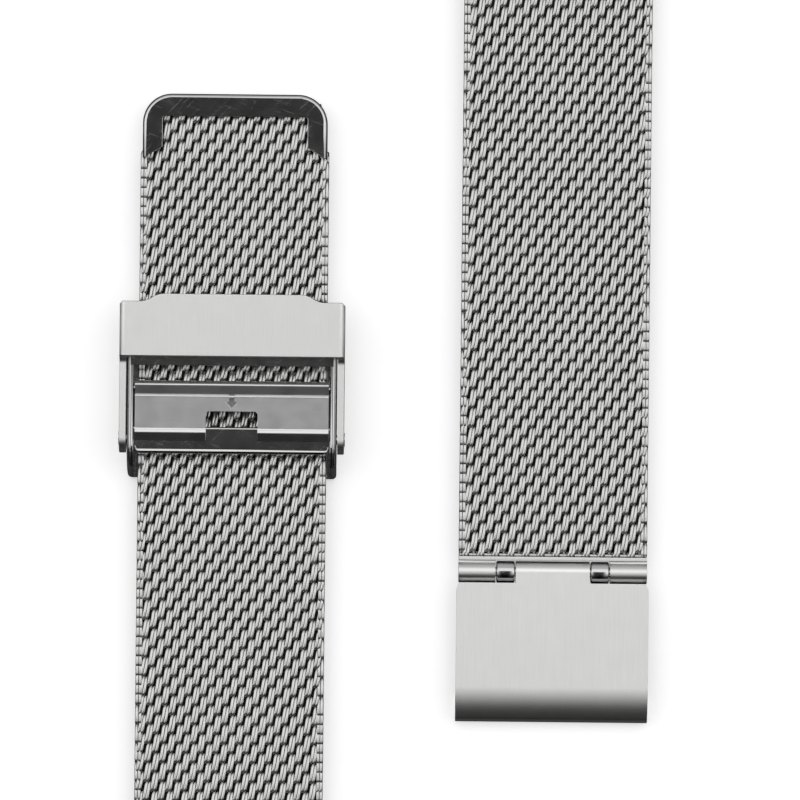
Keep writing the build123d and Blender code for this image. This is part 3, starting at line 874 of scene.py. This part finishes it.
@dataclass(frozen=True)
class SheetMetal:
    """A copy of a node with merged faces, smooth bends and broken edges, which stands for it.

    The angles are in degrees.
    """

    node: str
    name: str
    body: str
    slot: str
    steel: Steel
    edge: float = 0.05 * MM
    edge_steps: int = 2
    reliefs: tuple[Relief, ...] = ()
    weld: float = 0.0005 * MM
    flat_angle: float = 0.5
    sharp_angle: float = 35.0
    smooth_angle: float = 32.0

    def build(self) -> bpy.types.Object:
        """Make the piece.

        Returns:
            The piece.
        """
        shape = bmesh.new()
        shape.from_mesh(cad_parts[self.node].data)
        bmesh.ops.remove_doubles(shape, verts=shape.verts, dist=self.weld)
        bmesh.ops.dissolve_limit(shape, angle_limit=radians(self.flat_angle), verts=shape.verts,
                                 edges=shape.edges)
        self.break_edges(shape)
        for relief in self.reliefs:
            relief.press(shape)
        self.shade(shape)
        mesh = bpy.data.meshes.new(self.name)
        shape.to_mesh(mesh)
        shape.free()
        mesh.materials.append(self.steel.material())
        piece = bpy.data.objects.new(self.name, mesh)
        bpy.context.scene.collection.objects.link(piece)
        level = piece.modifiers.new("level_faces", "WEIGHTED_NORMAL")
        level.keep_sharp = True
        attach(piece, self.body)
        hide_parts(self.node)
        log.info("%s: %d faces, stands for %s", self.name, len(mesh.polygons), self.node)
        return piece

    def break_edges(self, shape: bmesh.types.BMesh) -> None:
        """Break the sharp edges.

        Args:
            shape: The copy.
        """
        sharp = [item for item in shape.edges
                 if len(item.link_faces) == 2 and item.calc_face_angle() > radians(self.sharp_angle)]
        bmesh.ops.bevel(shape, geom=sharp, offset=self.edge, segments=self.edge_steps, profile=0.5,
                        affect="EDGES", clamp_overlap=True)

    def shade(self, shape: bmesh.types.BMesh) -> None:
        """Shade the bends smooth, and leave the edges between them sharp.

        Args:
            shape: The copy.
        """
        for face in shape.faces:
            face.smooth = True
        for item in shape.edges:
            if len(item.link_faces) == 2:
                item.smooth = item.calc_face_angle() < radians(self.smooth_angle)


# The pressed rim along the lever's lip.
LEVER_RIM = Relief(
    ((-0.2, 0.0), (0.3, 0.093), (0.5, 0.17), (0.6, 0.219), (0.68, 0.205), (0.91, 0.072), (1.11, 0.0)),
    4.09 * MM, 4.8 * MM,
)
# The arrow's floor, which deepens towards its point.
LEVER_ARROW = Relief(((3.0, -0.3), (4.65, -0.02)), 4.5 * MM, 4.545 * MM, 1.5 * MM)
# The valley before the lever's roll, and the roll's proud crest.
LEVER_ROLL = Relief(
    ((4.35, 0.0), (4.55, 0.04), (4.57, -0.2), (5.0, 0.128), (5.3, 0.357), (5.45, 0.419), (5.6, 0.51),
     (5.68, 0.559), (5.8, 0.593), (5.9, 0.59), (6.0, 0.534), (6.08, 0.38), (6.14, 0.0)),
    3.45 * MM, 4.8 * MM,
)
# The proud line along the lower edge of the channel's bridge.
BRIDGE = Relief(
    ((-1.5, 0.0), (-1.42, 0.03), (-1.32, 0.05), (-1.12, 0.0)), 3.2 * MM, 4.2 * MM, 10.3 * MM,
)


@dataclass(frozen=True)
class TipCap:
    """The polished cap folded over the long half's free end."""

    sheet: SheetMetal = SheetMetal("tip_cap", "tip_cap_sheet", "long_strap", "polished_cap", POLISHED_CAP)

    def build(self) -> None:
        """Make it."""
        self.sheet.build()


@dataclass(frozen=True)
class Clasp:
    """The sliding clasp: its channel, the lever in it, the lid over it, and their pins."""

    channel: SheetMetal = SheetMetal("clasp_frame", "clasp_channel", "clasp", "polished_frame", POLISHED,
                                     reliefs=(BRIDGE,))
    lever: SheetMetal = SheetMetal("lock_lever", "lever_plate", "lever", "satin_lever", SATIN,
                                   reliefs=(LEVER_RIM, LEVER_ARROW, LEVER_ROLL), smooth_angle=15.0)
    lid: SheetMetal = SheetMetal("safety_lid", "lid_sheet", "lid", "brushed_clasp", BRUSHED, 0.04 * MM)
    pins: tuple[str, ...] = ("lever_pin", "lid_rivets")

    def build(self) -> None:
        """Make it."""
        for sheet in (self.channel, self.lever, self.lid):
            sheet.build()
        for pin in self.pins:
            dress(pin, POLISHED)


@dataclass(frozen=True)
class HookEnd:
    """The hook that catches the clasp's bridge, and the hinge that it turns on."""

    hook: SheetMetal = SheetMetal("hook_plate", "hook_sheet", "hook", "brushed_clasp", BRUSHED_HOOK)
    knuckles: SheetMetal = SheetMetal("hinge_end", "hinge_knuckles", "short_link_1", "brushed_clasp",
                                      BRUSHED)
    bushes: SheetMetal = SheetMetal("hinge_sleeves", "hinge_bushes", "short_link_1", "polished_frame",
                                    POLISHED)

    def build(self) -> None:
        """Make it."""
        for sheet in (self.hook, self.knuckles, self.bushes):
            sheet.build()
        dress("hinge_pin", POLISHED)


@dataclass(frozen=True)
class CaseEnd:
    """The tube that ends a half at the watch case, and the spring bar in it."""

    half: str
    body: str

    def build(self) -> None:
        """Make it."""
        SheetMetal(f"{self.half}_case_end", f"case_tube_{self.half}", self.body, "brushed_clasp",
                   BRUSHED).build()
        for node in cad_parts:
            if node.startswith((f"{self.half}_bar_", f"{self.half}_plunger_")):
                dress(node, TURNED)


# The studio


@dataclass
class Studio:
    """The pale floor, the room that lights the band, and the camera above it.

    The room's light depends on the angle off straight up, in degrees: over Y by the falloff, in
    shares of the brightness, and over X by an even panel with a dark gap along its middle, where
    the camera is.
    """

    photo_side: float = 800.0
    photo_scale: float = 0.1061 * MM
    tip_pixel: tuple[float, float] = (235.5, 94.0)
    camera_roll: float = 0.6
    camera_distance: float = 0.6
    camera_clip: float = 0.01
    floor_side: float = 6.0
    floor_grain: float = 60.0
    floor_shades: tuple[float, float] = (0.84, 0.86)
    floor_glow: float = 0.5
    floor_in_gloss: float = 0.1
    brightness: float = 1.45
    falloff: tuple[tuple[float, float], ...] = (
        (-90.0, 0.01), (-57.0, 0.02), (-38.0, 0.05), (-23.0, 0.42), (0.0, 0.92), (10.0, 0.97),
        (22.0, 0.85), (38.0, 0.8), (46.0, 0.45), (66.0, 0.4), (90.0, 0.37),
    )
    panel_edges: tuple[float, float] = (60.0, 75.0)
    beyond_panel: float = 0.4
    gap_edges: tuple[float, float] = (8.0, 14.0)
    gap_head: tuple[float, float] = (6.0, 14.0)
    gap_level: float = 0.03

    def build(self) -> None:
        """Make the floor and the room."""
        self.floor()
        self.room()

    def floor(self) -> None:
        """Make the floor, which shows white and keeps the band's shadow. Where metal reflects it, its
        colour is cut to a small share, a painted dark reflection.
        """
        mesh = bpy.data.meshes.new("floor")
        half = self.floor_side / 2
        mesh.from_pydata([(-half, -half, 0.0), (half, -half, 0.0), (half, half, 0.0), (-half, half, 0.0)],
                         [], [(0, 1, 2, 3)])
        material = bpy.data.materials.new("pale_floor")
        material.use_nodes = True
        material.node_tree.nodes.clear()
        graph = Graph(material.node_tree)
        place = graph.node("ShaderNodeTexCoord").outputs["Object"]
        grain = graph.spread(graph.noise(place, (self.floor_grain,) * 3, detail=3.0), *NOISE_SPAN,
                             *self.floor_shades)
        rays = graph.node("ShaderNodeLightPath").outputs
        # Painted dark reflection: in glossy rays the floor keeps only a small share of its colour.
        shade = grain * (1.0 - graph.term(rays["Is Glossy Ray"]) * (1.0 - self.floor_in_gloss))
        colour = graph.node("ShaderNodeCombineXYZ", {0: shade, 1: shade, 2: shade})
        cloth = graph.node("ShaderNodeBsdfDiffuse", {"Color": colour.outputs[0]})
        seen = graph.term(rays["Is Camera Ray"])
        glow = graph.node("ShaderNodeEmission",
                          {"Color": (1.0, 1.0, 1.0, 1.0), "Strength": seen * self.floor_glow})
        both = graph.node("ShaderNodeAddShader", {0: cloth.outputs[0], 1: glow.outputs[0]})
        graph.node("ShaderNodeOutputMaterial", {"Surface": both.outputs[0]})
        mesh.materials.append(material)
        floor = bpy.data.objects.new("floor", mesh)
        bpy.context.scene.collection.objects.link(floor)

    def room(self) -> None:
        """Make the room, which is white where the camera sees it."""
        world = bpy.data.worlds.new("room")
        bpy.context.scene.world = world
        world.use_nodes = True
        world.node_tree.nodes.clear()
        graph = Graph(world.node_tree)
        way = graph.node("ShaderNodeTexCoord").outputs["Generated"]
        parts = graph.node("ShaderNodeSeparateXYZ", {0: way})
        x, y, up = (graph.term(part) for part in parts.outputs)
        over_x, over_y = (graph.math("DEGREES", graph.math("ARCTAN2", part, up)) for part in (x, y))
        off_x = graph.math("ABSOLUTE", over_x)
        ramp = graph.node("ShaderNodeValToRGB", {"Fac": self.ramp_place(over_y)})
        stops = ramp.color_ramp.elements
        for number, (angle, share) in enumerate(self.falloff):
            place = self.ramp_place(angle)
            stop = stops[0] if number == 0 else stops[1] if number == 1 else stops.new(place)
            stop.position = place
            stop.color = (share, share, share, 1.0)
        share = graph.node("ShaderNodeSeparateColor", {"Color": ramp.outputs["Color"]}).outputs["Red"]
        level = graph.term(share) * self.brightness
        level = level * graph.spread(off_x, *self.panel_edges, 1.0, self.beyond_panel, smooth=True)
        gap = (graph.spread(off_x, *self.gap_edges, 1.0, 0.0, smooth=True)
               * graph.spread(over_y, *self.gap_head, 1.0, 0.0, smooth=True))
        level = level * (1.0 - gap * (1.0 - self.gap_level))
        seen = graph.term(graph.node("ShaderNodeLightPath").outputs["Is Camera Ray"])
        level = graph.math("MAXIMUM", level, seen)
        back = graph.node("ShaderNodeBackground", {"Color": (1.0, 1.0, 1.0, 1.0), "Strength": level})
        graph.node("ShaderNodeOutputWorld", {"Surface": back.outputs[0]})

    @staticmethod
    def ramp_place(angle: Term | float) -> Term | float:
        """Place of an angle on the falloff's ramp, which runs from -90 to 90 degrees."""
        return (angle + 90.0) / 180.0

    def camera(self, tip: Vector) -> None:
        """Put the camera straight above the band, with the photograph's frame.

        Args:
            tip: Middle of the long half's end, whose pixel is known.
        """
        data = bpy.data.cameras.new("camera")
        data.lens = data.sensor_width * self.camera_distance / (self.photo_side * self.photo_scale)
        data.clip_start = self.camera_clip
        middle = self.photo_side / 2
        across = (middle - self.tip_pixel[0]) * self.photo_scale
        along = (self.tip_pixel[1] - middle) * self.photo_scale
        turn = Matrix.Rotation(radians(self.camera_roll), 4, "Z")
        aim = tip + (turn @ Vector((across, along, 0.0, 1.0))).to_3d()
        camera = bpy.data.objects.new("camera", data)
        camera.matrix_world = Matrix.Translation((aim.x, aim.y, tip.z + self.camera_distance)) @ turn
        bpy.context.scene.collection.objects.link(camera)
        bpy.context.scene.camera = camera


def main() -> None:
    """Dress the band and set up the studio."""
    logging.basicConfig(level=logging.INFO, format="%(message)s")
    bpy.context.scene.view_settings.view_transform = "Standard"
    weave = Weave()
    pieces = (LongHalf(weave), ShortHalf(weave), TipCap(), Clasp(), HookEnd(),
              CaseEnd("long", "long_link_5"), CaseEnd("short", "short_link_8"))
    for piece in pieces:
        piece.build()
    studio = Studio()
    studio.build()
    _, cap_top, cap_middle = place_of("tip_cap")
    studio.camera(Vector((cap_middle.x, cap_top.y, cap_top.z)))


if __name__ == "__main__":
    main()
